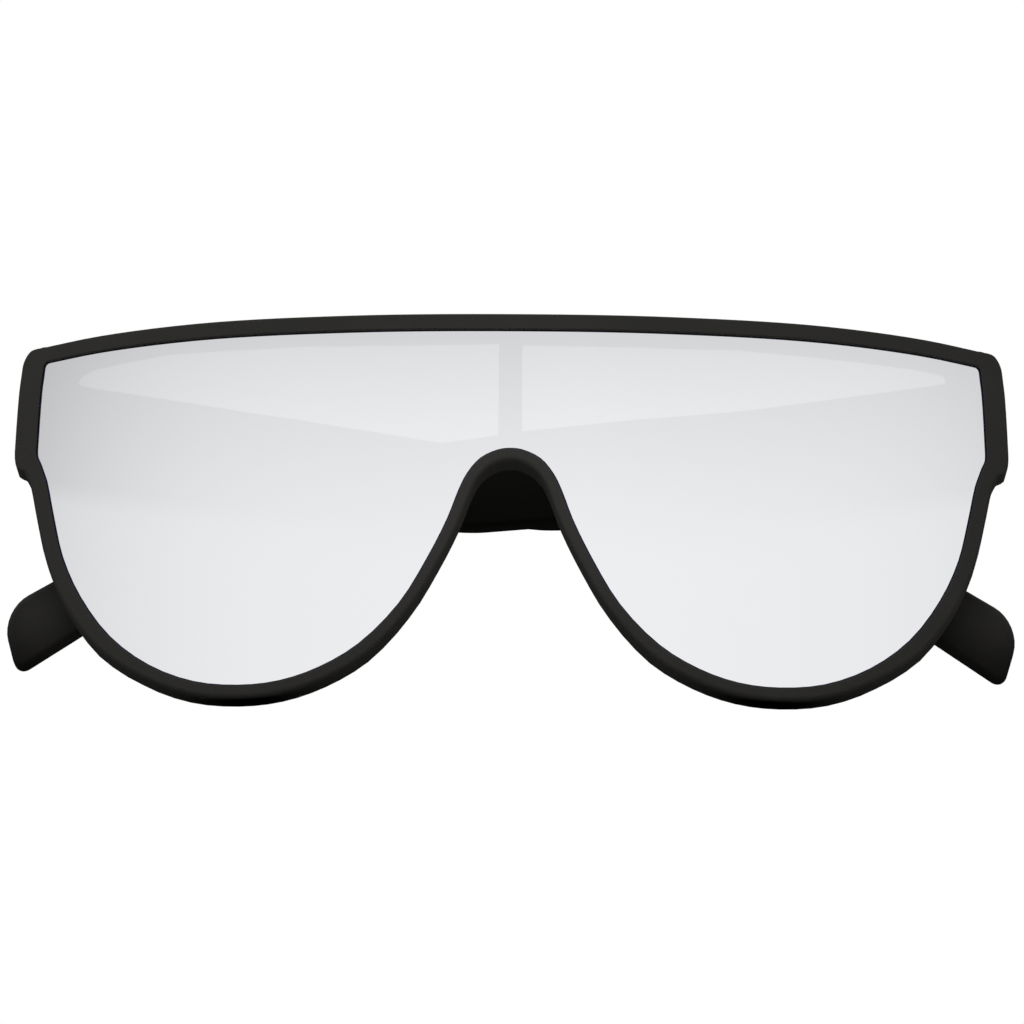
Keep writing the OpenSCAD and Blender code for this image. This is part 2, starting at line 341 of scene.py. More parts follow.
bm = bmesh.new()
start = Matrix.Rotation(-wall_half_turn, 4, "Z") @ Vector((0, -wall_radius, 0))
foot = bm.verts.new((start.x, start.y, wall_low))
head = bm.verts.new((start.x, start.y, wall_high))
edge = bm.edges.new((foot, head))
bmesh.ops.spin(bm, geom=[foot, head, edge], axis=(0, 0, 1), cent=(0, 0, 0),
               angle=2 * wall_half_turn, steps=wall_steps)
wall = new_object("mirrored_wall", bm, [glow_material("wall_glow", wall_brightness)])
only_for_reflections(wall)
print("wall:", len(wall.data.polygons), "faces,", round(wall_radius / MM), "mm away")

# %% [markdown]
# Each soft box is a flat grid bent onto the wall's curve, a little in front of it. Its rows give the
# turn round the curve and the heights of its lower and upper edge there, so it tapers as the
# reflection does. It has the wall's glow and is only brighter, so both fade together.

# %% The two mirrored soft boxes
box_brightness = 1.035
box_gap_in_front = 4 * MM
box_columns = 90
grid_half = 0.5
left_box_rows = [
    (-1.8, 281.9, 311.4), (-7.9, 279.0, 310.7), (-15.6, 281.7, 309.3), (-23.2, 283.7, 307.3),
    (-31.9, 285.1, 303.3), (-37.8, 285.8, 300.0), (-43.1, 286.0, 294.9), (-46.0, 286.0, 291.8),
    (-47.2, 286.3, 289.3), (-47.7, 286.8, 287.2),
]
right_box_rows = [
    (0.75, 283.2, 311.1), (7.0, 285.0, 310.5), (13.4, 286.4, 309.6), (24.0, 287.1, 306.8),
    (30.8, 287.9, 303.2), (37.4, 288.5, 299.0), (43.4, 288.7, 294.5), (46.2, 288.6, 291.8),
    (46.8, 288.8, 290.5),
]


def mirrored_box(name, rows):
    """A soft box in front of the wall. A row is a turn in degrees and two heights in mm."""
    bm = bmesh.new()
    bmesh.ops.create_grid(bm, x_segments=box_columns, y_segments=1, size=grid_half)
    radius = wall_radius - box_gap_in_front
    for vert in bm.verts:
        turned = rows[0][0] + (rows[-1][0] - rows[0][0]) * (vert.co.x + grid_half)
        spans = [span for span in zip(rows, rows[1:]) if abs(turned) <= abs(span[1][0])]
        before, after = spans[0] if spans else rows[-2:]
        share = (turned - before[0]) / (after[0] - before[0])
        low, high = (before[k] + (after[k] - before[k]) * share for k in (1, 2))
        phi = math.radians(turned)
        height = (low if vert.co.y < 0 else high) * MM
        vert.co = (radius * math.sin(phi), -radius * math.cos(phi), height)
    panel = new_object(name, bm, [glow_material(name + "_glow", box_brightness)])
    only_for_reflections(panel)
    print(name, "of", len(panel.data.polygons), "faces")


mirrored_box("mirrored_box_left", left_box_rows)
mirrored_box("mirrored_box_right", right_box_rows)

# %% [markdown]
# ## Shared surface effects
#
# Soft-touch plastic and plated steel both have a fine texture, and both show where fingers have been.
# Two node groups hold these effects, so each material sets its own scale and strength.

# %% Node groups
def new_group(name, inputs, outputs):
    """An empty shader group with float inputs and outputs, and its two end nodes."""
    group = bpy.data.node_groups.new(name, "ShaderNodeTree")
    for label, value in inputs.items():
        socket = group.interface.new_socket(label, in_out="INPUT", socket_type="NodeSocketFloat")
        socket.default_value = value
    for label in outputs:
        group.interface.new_socket(label, in_out="OUTPUT", socket_type="NodeSocketFloat")
    return group, group.nodes.new("NodeGroupInput"), group.nodes.new("NodeGroupOutput")


fine_grain, grain_in, grain_out = new_group(
    "fine_grain", {"Cells per Metre": 4000.0, "Unevenness": 0.3}, ["Height"])
place = add_node(fine_grain, "ShaderNodeTexCoord")
cells = add_node(fine_grain, "ShaderNodeTexNoise", {"Vector": place.outputs["Object"],
                 "Scale": grain_in.outputs["Cells per Metre"], "Detail": 3.0, "Roughness": 0.55})
waves = add_node(fine_grain, "ShaderNodeTexNoise", {"Vector": place.outputs["Object"],
                 "Scale": 160.0, "Detail": 2.0})
height = add_node(fine_grain, "ShaderNodeMath", {0: waves.outputs[0],
                  1: grain_in.outputs["Unevenness"], 2: cells.outputs[0]},
                  operation="MULTIPLY_ADD")
fine_grain.links.new(height.outputs[0], grain_out.inputs["Height"])

handling, handling_in, handling_out = new_group(
    "handling", {"Cells per Metre": 60.0, "Cover": 0.5}, ["Mask"])
place = add_node(handling, "ShaderNodeTexCoord")
cloud = add_node(handling, "ShaderNodeTexNoise", {"Vector": place.outputs["Object"],
                 "Scale": handling_in.outputs["Cells per Metre"], "Detail": 4.0,
                 "Roughness": 0.6, "Distortion": 0.6})
clean = add_node(handling, "ShaderNodeMath", {0: 1.0, 1: handling_in.outputs["Cover"]},
                 operation="SUBTRACT")
mask = add_node(handling, "ShaderNodeMapRange", {"Value": cloud.outputs[0],
                "From Min": clean.outputs[0], "From Max": 1.0, "To Min": 0.0, "To Max": 1.0},
                interpolation_type="SMOOTHSTEP")
handling.links.new(mask.outputs[0], handling_out.inputs["Mask"])
print("groups:", [group.name for group in bpy.data.node_groups])

# %% [markdown]
# ## Materials
#
# Each finish is a Principled shader with up to three effects: a fine grain, the marks of handling,
# and one paler spot, a painted highlight. One function builds them all, so a finish is a row of
# numbers that can be compared with the others.

# %% How a finish is made
coat_roughness = 0.08


def surface(name, colour, roughness, metallic=0.0, specular=0.5, coat=0.0, grain=None, marks=None,
            painted_highlight=None):
    """A Principled material. grain is (cells per metre, depth in m), marks is (cells per metre,
    cover, how much rougher, how much paler), worn is (place, near, far, how much paler): a painted
    highlight."""
    material = bpy.data.materials.new(name)
    material.use_nodes = True
    tree = material.node_tree
    tree.nodes.clear()
    tint = (*colour, 1)
    shader = add_node(tree, "ShaderNodeBsdfPrincipled", {
        "Base Color": tint, "Roughness": roughness, "Metallic": metallic,
        "Specular IOR Level": specular, "Coat Weight": coat, "Coat Roughness": coat_roughness})
    add_node(tree, "ShaderNodeOutputMaterial", {"Surface": shader.outputs[0]})

    def paled(tint, mask, times):
        """Mixes the first colour, times a factor, over the tint where the mask is."""
        paler = [min(1, channel * times) for channel in colour]
        tone = add_node(tree, "ShaderNodeMix", {0: mask, 6: tint, 7: (*paler, 1)},
                        data_type="RGBA")
        tree.links.new(tone.outputs[2], shader.inputs["Base Color"])
        return tone.outputs[2]

    if grain:
        cells, depth = grain
        texture = add_node(tree, "ShaderNodeGroup", {"Cells per Metre": cells},
                           node_tree=fine_grain)
        bump = add_node(tree, "ShaderNodeBump", {"Height": texture.outputs["Height"],
                        "Distance": depth, "Strength": 1.0})
        tree.links.new(bump.outputs[0], shader.inputs["Normal"])
    if marks:
        cells, cover, rougher, times = marks
        touched = add_node(tree, "ShaderNodeGroup", {"Cells per Metre": cells, "Cover": cover},
                           node_tree=handling)
        rough = add_node(tree, "ShaderNodeMapRange", {"Value": touched.outputs["Mask"],
                         "To Min": roughness, "To Max": roughness + rougher})
        tree.links.new(rough.outputs[0], shader.inputs["Roughness"])
        tint = paled(tint, touched.outputs["Mask"], times)
    # A paler spot round one place, which is a painted highlight.
    if painted_highlight:
        spot, near, far, times = painted_highlight
        place = add_node(tree, "ShaderNodeTexCoord")
        away = add_node(tree, "ShaderNodeVectorMath", {0: place.outputs["Object"], 1: spot},
                        operation="DISTANCE")
        highlight_spot = add_node(tree, "ShaderNodeMapRange", {"Value": away.outputs["Value"],
                       "From Min": near, "From Max": far, "To Min": 1.0, "To Max": 0.0},
                       interpolation_type="SMOOTHSTEP")
        paled(tint, highlight_spot.outputs[0], times)
    return material


# %% [markdown]
# The black is a soft-touch skin, which swallows nearly all shine, so it is made matt and very dark
# instead of glossy and dark. The grain is far too fine to see as dots and only breaks up the light.
# Round the nose arch the rim is painted a little paler, as a painted highlight. The temples are the
# same plastic, a shade deeper as painted shade, and each tip has a paler spot as a painted
# highlight. The mirror coat is a metal film, so it is fully metallic and nearly smooth, with faint
# wiping marks. Its cut edge shows the violet of the coat, and the back of the lens is smoke grey.

# %% The finishes of the glasses
skin_grain = (5200.0, 0.006 * MM)
skin_marks = (70.0, 0.55, 0.10, 1.25)
# Round the nose arch the rim's black is painted paler, as a painted highlight.
nose_arch = (0, -15.6 * MM, 34 * MM)
# A pale spot of painted highlight goes on each temple tip.
tip_highlight_spots = {"right": (71 * MM, 5 * MM, 19 * MM), "left": (-71 * MM, 9 * MM, 21 * MM)}
soft_black = surface("soft_touch_black", (0.0350, 0.0342, 0.0320), roughness=0.50, specular=0.0,
                     grain=skin_grain, marks=skin_marks, painted_highlight=(nose_arch, 12 * MM, 34 * MM, 1.3))
# The temples' black is the rim's plastic made a shade deeper, which is painted shade.
temple_shaded_blacks = {
    side: surface(side + "_temple_shaded_black", (0.0125, 0.0122, 0.0113), roughness=0.46, specular=0.0,
                  grain=skin_grain, marks=skin_marks, painted_highlight=(tip, 0.5 * MM, 10 * MM, 3.2))
    for side, tip in tip_highlight_spots.items()
}
mirror_coat = surface("silver_mirror_coat", (0.90, 0.903, 0.915), roughness=0.010, metallic=1.0,
                      marks=(48.0, 0.42, 0.03, 0.985))
violet_edge = surface("violet_coat_edge", (0.10, 0.09, 0.42), roughness=0.12, metallic=0.6)
smoke_back = surface("smoke_lens_back", (0.018, 0.019, 0.021), roughness=0.07, coat=0.4,
                     marks=(55.0, 0.45, 0.08, 1.5))
hinge_steel = surface("plated_hinge_steel", (0.56, 0.555, 0.54), roughness=0.28, metallic=1.0,
                      grain=(9000.0, 0.004 * MM), marks=(400.0, 0.5, 0.12, 0.8))
print("finishes:", [material.name for material in (
    soft_black, *temple_shaded_blacks.values(), mirror_coat, violet_edge, smoke_back, hinge_steel)])

# %% [markdown]
# The model's own nodes get the same finishes. A dressed piece will stand in for each of them, but a
# node that is shown by itself should look right too.

# %% Finishes of the CAD nodes
for name in frame["nodes"]:
    mesh = frame["nodes"][name].data
    mesh.materials.clear()
    if "leaf" in name or "screw" in name:
        mesh.materials.append(hinge_steel)
    elif "lens" in name:
        mesh.materials.append(mirror_coat)
    elif "temple" in name:
        mesh.materials.append(temple_shaded_blacks[name.split("_")[0]])
    else:
        mesh.materials.append(soft_black)
print("materials on", len(frame["nodes"]), "CAD nodes")

# %% [markdown]
# ## The line round the lens
#
# Rim and lens share one closed line, the edge of the window that the lens fills. It is given as rows
# from the middle of the top edge round one lobe to the middle of the nose arch: a share of the half
# width, a share of the height, and how wide the rim is there.

# %% Sizes and rows of the front
front_width = 149.8 * MM
window_height = 55.1 * MM
wrap_radius = 205 * MM
rim_depth = 4.5 * MM
lens_thickness = 2 * MM
lens_recess = 0.5 * MM
lens_play = 0.05 * MM
ledge_width = 1.3 * MM
seat_depth = lens_recess + lens_thickness + lens_play
rims = {"top": 2.5, "shoulder": 2.75, "corner": 3.4, "side": 3.4, "notch": 2.6, "lobe": 2.4,
        "low": 2.0, "nose": 1.7, "arch": 1.9}
window_rows = [
    (0, 0.991, "top"), (0.34, 0.995, "top"), (0.66, 1, "top"), (0.87, 0.993, "top"),
    (0.957, 0.984, "top"), (0.982, 0.981, "top"), (0.9859, 0.9797, "shoulder"),
    (0.9891, 0.9768, "corner"), (0.9913, 0.9727, "corner"), (0.9923, 0.9678, "side"),
    (0.994, 0.944, "side"), (0.997, 0.9, "side"), (1, 0.76, "side"), (1, 0.716, "side"),
    (0.9975, 0.702, "side"), (0.991, 0.684, "notch"), (0.983, 0.656, "lobe"),
    (0.976, 0.63, "lobe"), (0.958, 0.526, "lobe"), (0.934, 0.405, "lobe"),
    (0.892, 0.285, "lobe"), (0.825, 0.163, "lobe"), (0.74, 0.073, "low"), (0.645, 0.018, "low"),
    (0.551, 0, "low"), (0.467, 0.007, "low"), (0.386, 0.04, "low"), (0.305, 0.102, "low"),
    (0.224, 0.212, "nose"), (0.168, 0.336, "nose"), (0.127, 0.448, "nose"),
    (0.104, 0.53, "nose"), (0.087, 0.577, "nose"),
    (0.06, 0.62, "arch"), (0.024, 0.643, "arch"), (0, 0.647, "arch"),
]
window_half_width = front_width / 2 - rims["side"] * MM
window_foot = rims["low"] * MM
front_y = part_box("shield_lens")[0].y - lens_recess
print(len(window_rows), "rows, window", round(2 * window_half_width / MM, 1), "mm wide")

# %% [markdown]
# Blender's bezier function draws the curve through the rows. It needs a direction and a speed at
# each row, and the rows before and after it give them. The roots of the distances weigh the two, so
# that the curve stays tight at the corners where the rows lie close together.

# %% The window line
def passing(a, b, c):
    """Direction and speed of the curve at b, between a and c, for the stretch from b to c."""
    ab, bc = math.sqrt((b - a).length), math.sqrt((c - b).length)
    return (c - b) + bc * ((b - a) / ab - (c - a) / (ab + bc))


def window_line(longest_step, fewest_steps):
    """Points of the closed window edge, clockwise from the top, and the rim width at each."""
    half = [(Vector((x * window_half_width, 0, window_foot + z * window_height)), rims[w] * MM)
            for x, z, w in window_rows]
    rows = half + [(Vector((-p.x, 0, p.z)), width) for p, width in half[-2:0:-1]]
    points, widths = [], []
    for i in range(len(rows)):
        (a, _), (b, width_b), (c, width_c), (d, _) = [
            rows[(i + k) % len(rows)] for k in (-1, 0, 1, 2)]
        steps = max(fewest_steps, math.ceil((c - b).length / longest_step))
        near_b, near_c = b + passing(a, b, c) / 3, c + passing(d, c, b) / 3
        points += interpolate_bezier(b, near_b, near_c, c, steps + 1)[:-1]
        widths += [width_b + (width_c - width_b) * k / steps for k in range(steps)]
    return points, widths


line, line_rims = window_line(longest_step=3.5 * MM, fewest_steps=3)
print("window line:", len(line), "points")

# %% [markdown]
# Two more steps serve the rim and the lens alike. One moves the line outward or inward. The other
# bends what was drawn flat round the face, as the real front is.

# %% Moving the line and bending a piece
def moved_out(points, distances):
    """The closed line with each point moved outward, square to the line."""
    moved = []
    for i, point in enumerate(points):
        run = (points[(i + 1) % len(points)] - points[i - 1]).normalized()
        moved.append(point + Vector((-run.z, 0, run.x)) * distances[i])
    return moved


def wrapped(bm):
    """Bends a flat piece round the face: every point moves back by the sag of the wrap."""
    for vert in bm.verts:
        sag = wrap_radius - math.sqrt(wrap_radius ** 2 - vert.co.x ** 2)
        vert.co.y += front_y + sag


# %% [markdown]
# ## The front frame
#
# The real front is one moulding: a rim of changing width with a ledge for the lens, and a block
# behind each top corner for the hinge. It could be cut from a slab with booleans, but the cuts would
# leave ragged edges that don't round well. Here the window line is extruded five times instead, to
# the five other corners of the rim's section, and the last line is bridged to the first.

# %% Rings of edges
def find_edge(a, b):
    """The edge between two vertices."""
    return next(edge for edge in a.link_edges if edge.other_vert(a) is b)


def ring_edges(loop):
    """The edges of a closed loop of vertices."""
    return [find_edge(loop[i - 1], loop[i]) for i in range(len(loop))]


def grow_ring(bm, loop, places):
    """Extrudes a closed loop of vertices, and puts the copies at new places."""
    made = bmesh.ops.extrude_edge_only(bm, edges=ring_edges(loop))["geom"]
    new = set(verts_of(made))
    copies = [next(e.other_vert(v) for e in v.link_edges if e.other_vert(v) in new) for v in loop]
    for vert, place in zip(copies, places):
        vert.co = place
    return copies


def at_depth(points, depth):
    """The flat line, moved back from the face."""
    return [point + Vector((0, depth, 0)) for point in points]


# %% [markdown]
# The section needs two more lines, the outer edge of the rim and the inner edge of its ledge. Behind
# each hinge corner the ledge's line runs straight to a square corner further in, because there the
# back of the rim is the foot of a hinge block.

# %% The lines of the rim's section
block_inner_x = 57.6 * MM
block_under_z = 40.9 * MM
outer_line = moved_out(line, line_rims)
ledge_line = moved_out(line, [-ledge_width] * len(line))
blocks = {}
for side in (1, -1):
    block = [i for i, point in enumerate(outer_line)
             if side * point.x > block_inner_x and point.z > block_under_z]
    if side < 0:
        block = block[::-1]
    first, last = ledge_line[block[0]].copy(), ledge_line[block[-1]].copy()
    corner = Vector((first.x, 0, last.z))
    down, across = (first - corner).length, (last - corner).length
    turn_at = round((len(block) - 1) * down / (down + across))
    for k, i in enumerate(block):
        if k <= turn_at:
            ledge_line[i] = first.lerp(corner, k / turn_at)
        else:
            ledge_line[i] = corner.lerp(last, (k - turn_at) / (len(block) - 1 - turn_at))
    blocks[side] = block
print("points under each hinge block:", [len(block) for block in blocks.values()])

# %% [markdown]
# The rings go out to the edge of the face, back over the side of the rim, in to the ledge, forward to
# the seat of the lens and out to the window. The finished rim is then bent round the face.

# %% The rim
bm = bmesh.new()
face_inner = [bm.verts.new(point) for point in line]
for i in range(len(face_inner)):
    bm.edges.new((face_inner[i - 1], face_inner[i]))
face_outer = grow_ring(bm, face_inner, outer_line)
back_outer = grow_ring(bm, face_outer, at_depth(outer_line, rim_depth))
back_inner = grow_ring(bm, back_outer, at_depth(ledge_line, rim_depth))
ledge_edge = grow_ring(bm, back_inner, at_depth(ledge_line, seat_depth))
seat_corner = grow_ring(bm, ledge_edge, at_depth(line, seat_depth))
bmesh.ops.bridge_loops(bm, edges=ring_edges(seat_corner) + ring_edges(face_inner))
bmesh.ops.recalc_face_normals(bm, faces=bm.faces)
wrapped(bm)
print("rim:", len(bm.faces), "faces")

# %% [markdown]
# A block grows from the back faces of its corner in two steps. The first has no height: it moves the
# lower points to the side, so that the block's side runs on straight below the notch. The second
# pulls the faces back to the block's depth.

# %% The hinge blocks
block_inner_back_x = 59.5 * MM
block_side_x = front_width / 2 - 0.15 * MM
block_back_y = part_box("front_frame")[1].y
notch_z = 43.5 * MM


def extruded_region(bm, faces):
    """Extrudes faces as one region, removes the old ones from inside, and gives what was made."""
    made = bmesh.ops.extrude_face_region(bm, geom=faces)["geom"]
    bmesh.ops.delete(bm, geom=[face for face in faces if face.is_valid], context="FACES_ONLY")
    return made


for side, block in blocks.items():
    strip = []
    for a, b in zip(block, block[1:]):
        corners = {back_outer[a], back_outer[b], back_inner[a], back_inner[b]}
        strip += [face for face in back_outer[a].link_faces if set(face.verts) == corners]
    outer = {back_outer[i].co.copy().freeze() for i in block}
    step = extruded_region(bm, strip)
    for vert in verts_of(step):
        if vert.co.copy().freeze() in outer and vert.co.z < notch_z:
            vert.co.x = side * block_side_x
            vert.co.z = max(vert.co.z, block_under_z)
    for vert in verts_of(extruded_region(bm, faces_of(step))):
        vert.co.y = block_back_y
        vert.co.x = side * max(abs(vert.co.x), block_inner_back_x)
bmesh.ops.recalc_face_normals(bm, faces=bm.faces)
print("front frame:", len(bm.verts), "points,",
      "open edges:", sum(not edge.is_manifold for edge in bm.edges))

# %% [markdown]
# Moulded plastic has no sharp edges. The outer edge of the face is the roundest, and the edge beside
# the lens is crisp. A Bevel modifier with edge weights gives each edge its own radius in one go, and
# Weighted Normal keeps the flat faces flat between the rounded edges.

# %% Rounded edges of the front
roundest = 0.75 * MM
crisp_share = 0.25
top_share = 0.5
back_share = 0.45
sharp_angle = math.radians(30)


def round_edges(piece, width, segments):
    """Live modifiers that round the weighted edges and keep flat faces flat."""
    bevel = piece.modifiers.new("rounded_edges", "BEVEL")
    bevel.width = width
    bevel.segments = segments
    bevel.limit_method = "WEIGHT"
    bevel.profile = 0.5
    bevel.use_clamp_overlap = False
    piece.modifiers.new("flat_faces", "WEIGHTED_NORMAL")


weight = bm.edges.layers.float.new("bevel_weight_edge")
hidden = set(ledge_edge) | set(seat_corner)
for edge in bm.edges:
    if edge.calc_face_angle(0) > sharp_angle and not hidden.issuperset(edge.verts):
        edge[weight] = back_share
for edge in ring_edges(face_inner):
    edge[weight] = crisp_share
for i, edge in enumerate(ring_edges(face_outer)):
    facing_down = max(0, (line[i] - outer_line[i]).normalized().z)
    edge[weight] = top_share + (1 - top_share) * facing_down
front_moulding = new_object("front_moulding", bm, [soft_black])
round_edges(front_moulding, roundest, segments=4)
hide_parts("front_frame")
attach(front_moulding, "front")
print("front moulding:", len(front_moulding.data.polygons), "faces before rounding")

# %% [markdown]
# ## The lens
#
# The lens is a flat sheet bent one way, like a strip of paper round a tin. A mirror shows every
# unevenness, so the sheet is cut into narrow upright strips before it is bent, and the front gets the
# exact normals of the bend. The coat stops at the small chamfer round the edge, where its violet
# tint shows as a thin line. The back is smoke grey.

# %% Shield lens
chamfer = 0.16 * MM
strip_width = 1.5 * MM
strip_tolerance = 0.00001 * MM
facing = 0.9

bm = bmesh.new()
lens_line = moved_out(line, [-lens_play] * len(line))
verts = [bm.verts.new(point) for point in lens_line]
edges = [bm.edges.new((verts[i - 1], verts[i])) for i in range(len(verts))]
sheet = bmesh.ops.contextual_create(bm, geom=edges)["faces"]
bmesh.ops.extrude_face_region(bm, geom=sheet, use_keep_orig=True)
deep = [vert for vert in bm.verts if vert not in set(verts)]
bmesh.ops.translate(bm, verts=deep, vec=(0, lens_thickness, 0))
bmesh.ops.recalc_face_normals(bm, faces=bm.faces)
around = [edge for edge in bm.edges if abs(edge.verts[0].co.y - edge.verts[1].co.y) < lens_play]
bmesh.ops.bevel(bm, geom=around, offset=chamfer, offset_type="OFFSET", affect="EDGES",
                segments=1, profile=0.5, material=-1)
bmesh.ops.translate(bm, verts=bm.verts, vec=(0, lens_recess, 0))
strips = math.floor(2 * window_half_width / strip_width)
for k in range(1, strips):
    x = -window_half_width + 2 * window_half_width * k / strips
    bmesh.ops.bisect_plane(bm, geom=all_of(bm), plane_co=(x, 0, 0), plane_no=(1, 0, 0),
                           dist=strip_tolerance)
for face in bm.faces:
    face.material_index = 0 if face.normal.y < -facing else 1 if face.normal.y < facing else 2
wrapped(bm)
bm.normal_update()
lens = new_object("mirror_shield", bm, [mirror_coat, violet_edge, smoke_back])
bend_centre_y = front_y + wrap_radius
normals = []
for face in lens.data.polygons:
    for index in face.vertices:
        spot = lens.data.vertices[index].co
        out = Vector((spot.x, spot.y - bend_centre_y, 0)).normalized()
        normals.append((out, face.normal, -out)[face.material_index])
lens.data.normals_split_custom_set(normals)
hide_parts("shield_lens")
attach(lens, "front")
print("lens:", strips, "strips,", len(lens.data.polygons), "faces")

# %% [markdown]
# ## The temples
#
# A temple is cut from a flat sheet, thinned from its butt to its blade and curved in at the tip. Its
# side view is a polygon of ten corners. Rounding each corner by a bevel of the vertex gives the long
# sweeps as well as the small radii, so the same operator serves for a sweep of 162 mm and a corner of
# 0.6 mm. The shape is extruded to its thickness, cut across wherever it has to bend, and bent.

# %% Sizes of a temple
temple_length = 145.4 * MM
butt_thickness = 4.1 * MM
blade_thickness = 3 * MM
butt_end = -1.8 * MM
blade_inside = 1.8 * MM
taper_end = 14 * MM
fold_tilt = math.radians(1.37025)
tip_hook = 3 * MM
blade_edge = 0.9 * MM
crisp_outside = 0.45
hook_start = 0.81 * temple_length
hook_radius = 60 * MM
hook_cut = 1.25 * MM
hook_cuts_each_way = 3
cut_tolerance = 0.001 * MM
midway = 0.5
side_names = {1: "left", -1: "right"}
side_corners_mm = [
    (butt_end / MM, 9.0, 0.6), (104.98, -9.61, 162), (119.95, -11.7, 50.4),
    (146.13, -29.0, 6.5), (143.22, -38.84, 1.53), (116.76, -19.24, 39.6),
    (84.04, -11.7, 39.6), (61.94, -13.75, 27), (29.95, -9.0, 39.6), (butt_end / MM, -9.0, 0.6),
]
print("temple:", len(side_corners_mm), "corners,", round(temple_length / MM, 1), "mm long")

# %% [markdown]
# Three steps are kept apart, because each is simple by itself: the rounded side view, the curve of
# the tip, and the way to the hinge. The last one also serves every piece of the hinges.

# %% Shaping and placing a temple
def rounded_corners(bm, corners_mm, segments):
    """A flat face. A corner is its distance from the hinge, its height and its radius."""
    verts = [bm.verts.new((0, s * MM, z * MM)) for s, z, radius in corners_mm]
    bm.faces.new(verts)
    turns = []
    for i, vert in enumerate(verts):
        to_last = verts[i - 1].co - vert.co
        to_next = verts[(i + 1) % len(verts)].co - vert.co
        turns.append(math.pi - to_last.angle(to_next))
    for vert, turned, (s, z, radius) in zip(verts, turns, corners_mm):
        bmesh.ops.bevel(bm, geom=[vert], offset=radius * MM * math.tan(turned / 2),
                        offset_type="OFFSET", affect="VERTICES", segments=segments, profile=0.5,
                        material=-1)


def hook_in(s):
    """How far the blade has curved inward at a distance from the hinge."""
    slope = tip_hook / (temple_length - hook_start)
    reach = hook_radius * math.tan(math.atan(slope) / 2)
    along = s - (hook_start - reach)
    if along <= 0:
        return 0
    if along < 2 * reach:
        return along ** 2 / (2 * hook_radius)
    return slope * (s - hook_start)


def at_hinge(bm, side, folded):
    """Moves what was modelled at the origin, open, to its hinge, and on the right mirrors it."""
    name = side_names[side] + "_temple_fold"
    joint = next(joint for joint in frame["joints"] if joint["name"] == name)
    hinge, axis = Vector(joint["pos_m"]), Vector(joint["axis"])
    hinge.x = abs(hinge.x)
    lean = math.asin(abs(axis.x))
    turned = quarter_turn - side * fold_tilt if folded else 0
    bm.transform(Matrix.Translation(hinge) @ Matrix.Rotation(side * lean, 4, "Y")
                 @ Matrix.Rotation(turned, 4, "Z"))
    if side < 0:
        bmesh.ops.scale(bm, verts=bm.verts, vec=(-1, 1, 1))
    bmesh.ops.recalc_face_normals(bm, faces=bm.faces)


# %% [markdown]
# While a temple is cut and its edges are weighted, its two faces stand at 0 and 1. Only then do they
# move to their real places, which the taper and the curve of the tip give for each point.

# %% Temple blades
def temple_blade(name, side, node):
    """One temple, modelled open at the left hinge and then folded, on the right mirrored."""
    bm = bmesh.new()
    rounded_corners(bm, side_corners_mm, segments=8)
    inner = set(bm.verts)
    bmesh.ops.extrude_face_region(bm, geom=list(bm.faces), use_keep_orig=True)
    outer = [vert for vert in bm.verts if vert not in inner]
    bmesh.ops.translate(bm, verts=outer, vec=(1, 0, 0))
    cuts = [taper_end]
    cuts += [hook_start + hook_cut * k for k in range(-hook_cuts_each_way, hook_cuts_each_way + 1)]
    for s in cuts:
        bmesh.ops.bisect_plane(bm, geom=all_of(bm), plane_co=(0, s, 0), plane_no=(0, 1, 0),
                               dist=cut_tolerance)
    bmesh.ops.recalc_face_normals(bm, faces=bm.faces)
    weight = bm.edges.layers.float.new("bevel_weight_edge")
    for edge in bm.edges:
        if edge.verts[0].co.x == edge.verts[1].co.x and edge.calc_face_angle(0) > sharp_angle:
            edge[weight] = crisp_outside if edge.verts[0].co.x > midway else 1
    for vert in bm.verts:
        s = vert.co.y
        taper = max(0, (taper_end - s) / (taper_end - butt_end))
        thickness = blade_thickness + (butt_thickness - blade_thickness) * taper
        vert.co.x = blade_inside + (thickness if vert.co.x > midway else 0) - hook_in(s)
    at_hinge(bm, side, folded=True)
    blade = new_object(name, bm, [temple_shaded_blacks[side_names[side]]])
    round_edges(blade, blade_edge, segments=4)
    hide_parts(node)
    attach(blade, node)
    print(name, len(blade.data.polygons), "faces before rounding")


temple_blade("right_blade", -1, "right_temple")
temple_blade("left_blade", 1, "left_temple")

# %% [markdown]
# ## The hinges
#
# Each hinge is stamped from plated steel: a leaf screwed to the block behind the lens, with two
# knuckles, a leaf screwed to the temple, with the knuckle between them, and a screw through all
# three as the pin. Where one piece turns in or beside another, a little room is left between them.

# %% Sizes of a hinge
plate_thick = 0.9 * MM
plate_half_height = 4.5 * MM
plate_end, plate_reach = 0.45 * MM, -8 * MM
plate_front = -1.05 * MM
plate_back = plate_front - plate_thick
leaf_start, leaf_end = 1.65 * MM, 12.65 * MM
leaf_high = 1.8 * MM
leaf_low = leaf_high - plate_thick
knuckle_radius = 1.5 * MM
knuckle_gap = 0.05 * MM
knuckle_steps = 40
bore_radius = 0.75 * MM
pin_radius = 0.7 * MM
middle_half_height = 1.45 * MM
swing_gap = 0.15 * MM
notch_half_height = middle_half_height + knuckle_gap
notch_x = -math.sqrt((knuckle_radius + swing_gap) ** 2 - plate_front ** 2)
web_end = 2.55 * MM
web_inner = 1.1 * bore_radius
plate_corner = 1 * MM
eased = 0.1 * MM
print("the pin clears its bores by", round((bore_radius - pin_radius) / MM, 2), "mm")

# %% [markdown]
# The temple's leaf is a cube with its four corners bevelled wide, and an L-shaped web carries its
# knuckle clear of the pin. The front leaf is an outline with a notch in which the middle knuckle
# turns, extruded to its thickness.

# %% Plates and web
def round_plate(bm, corner_edges):
    """Bevels the corners of a plate wide."""
    bmesh.ops.bevel(bm, geom=corner_edges, offset=plate_corner, offset_type="OFFSET",
                    affect="EDGES", segments=5, profile=0.5, material=-1)


